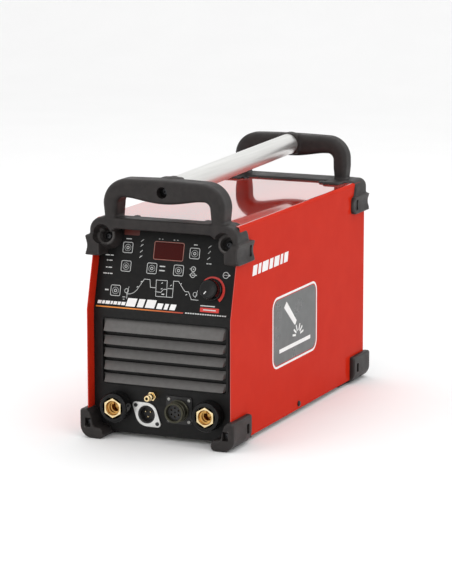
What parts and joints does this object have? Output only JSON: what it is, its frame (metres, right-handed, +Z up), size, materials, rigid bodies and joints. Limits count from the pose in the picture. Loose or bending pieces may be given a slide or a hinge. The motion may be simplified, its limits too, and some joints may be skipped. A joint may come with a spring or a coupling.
{
  "type": "tig welding machine",
  "caption": "Portable inverter welder: folded steel case with moulded end bumpers, a carry tube between arches, a slanted control panel, louvred front and weld sockets.",
  "frame": {"origin": "centre of the overall box at floor level, under the middle of the case", "axes": "+Z up, -Y out of the front panel, +X to the viewer's right when facing the front"},
  "size_m": [0.25, 0.557, 0.4003],
  "materials": {
    "black_moulding": "fine grained moulding",
    "black_paint": "satin black paint",
    "blackened_screw": "blackened",
    "brass": "machined",
    "bumper_moulding": "fine grained moulding",
    "carry_tube": "satin anodised",
    "circuit_board": "solder resist",
    "display_lens": "tinted, polished",
    "flange_plate": "tumbled",
    "gloss_moulding": "polished",
    "grille_moulding": "satin moulding",
    "heat_sink": "extruded",
    "hose": "smooth hose",
    "olive_shell": "olive plating",
    "overlay_film": "printed film",
    "red_paint": "glossy red powder paint",
    "winding": "lacquered winding",
    "zinc_plate": "zinc plated"
  },
  "bodies": {
    "case": {"base_tray": "zinc_plate", "cable_gland": "black_moulding", "carry_tube": "carry_tube", "case_cover": "red_paint", "control_board": "circuit_board", "control_overlay": "overlay_film", "display_window": "display_lens", "encoder_body": "zinc_plate", "fan_frame": "black_moulding", "fan_guard": "zinc_plate", "foot_front_left": "bumper_moulding", "foot_front_right": "bumper_moulding", "foot_rear_left": "bumper_moulding", "foot_rear_right": "bumper_moulding", "front_bumper": "bumper_moulding", "front_bumper_screw_left": "blackened_screw", "front_bumper_screw_right": "blackened_screw", "front_panel": "black_paint", "front_tube_bolt": "blackened_screw", "gas_hose": "hose", "gas_inlet": "brass", "gas_outlet": "brass", "gas_valve": "brass", "heat_sink": "heat_sink", "louvre_grille": "grille_moulding", "main_transformer": "winding", "mains_switch_body": "black_moulding", "output_choke": "winding", "power_board": "circuit_board", "rear_bumper": "bumper_moulding", "rear_bumper_screw_left": "blackened_screw", "rear_bumper_screw_right": "blackened_screw", "rear_panel": "black_paint", "rear_tube_bolt": "blackened_screw", "remote_insert": "black_moulding", "remote_shell": "olive_shell", "side_screw_left": "blackened_screw", "side_screw_right": "blackened_screw", "top_screw_front_left": "blackened_screw", "top_screw_front_right": "blackened_screw", "top_screw_rear_left": "blackened_screw", "top_screw_rear_right": "blackened_screw", "torch_flange": "flange_plate", "torch_insert": "black_moulding", "weld_socket_body_left": "black_moulding", "weld_socket_body_right": "black_moulding", "weld_socket_contact_left": "brass", "weld_socket_contact_right": "brass"},
    "encoder": {"encoder_knob": "gloss_moulding", "encoder_shaft": "zinc_plate"},
    "fan_rotor": {"fan_rotor": "black_moulding"},
    "mains_switch_knob": {"mains_switch_knob": "black_moulding"},
    "button_mode": {"button_mode": "gloss_moulding"},
    "button_trigger": {"button_trigger": "gloss_moulding"},
    "button_pulse": {"button_pulse": "gloss_moulding"},
    "button_profile": {"button_profile": "gloss_moulding"},
    "button_polarity": {"button_polarity": "gloss_moulding"},
    "button_select": {"button_select": "gloss_moulding"}
  },
  "joints": [
    {"name": "encoder_turn", "type": "hinge", "parent": "case", "child": "encoder", "pos_m": [0.0725, -0.23703, 0.22954], "axis": [0, -0.9668, 0.2554], "continuous": true},
    {"name": "press_mode", "type": "slide", "parent": "case", "child": "button_mode", "axis": [0, 0.9668, -0.2554], "range_m": [0, 0.0006], "stiffness_N_per_m": 1500},
    {"name": "press_trigger", "type": "slide", "parent": "case", "child": "button_trigger", "axis": [0, 0.9668, -0.2554], "range_m": [0, 0.0006], "stiffness_N_per_m": 1500},
    {"name": "press_pulse", "type": "slide", "parent": "case", "child": "button_pulse", "axis": [0, 0.9668, -0.2554], "range_m": [0, 0.0006], "stiffness_N_per_m": 1500},
    {"name": "press_profile", "type": "slide", "parent": "case", "child": "button_profile", "axis": [0, 0.9668, -0.2554], "range_m": [0, 0.0006], "stiffness_N_per_m": 1500},
    {"name": "press_polarity", "type": "slide", "parent": "case", "child": "button_polarity", "axis": [0, 0.9668, -0.2554], "range_m": [0, 0.0006], "stiffness_N_per_m": 1500},
    {"name": "press_select", "type": "slide", "parent": "case", "child": "button_select", "axis": [0, 0.9668, -0.2554], "range_m": [0, 0.0006], "stiffness_N_per_m": 1500},
    {"name": "fan_spin", "type": "hinge", "parent": "case", "child": "fan_rotor", "pos_m": [0, 0.2357, 0.12], "axis": [0, 1, 0], "continuous": true},
    {"name": "mains_switch_turn", "type": "hinge", "parent": "case", "child": "mains_switch_knob", "pos_m": [0.052, 0.2525, 0.248], "axis": [0, 1, 0], "range_deg": [0, 90]}
  ]
}
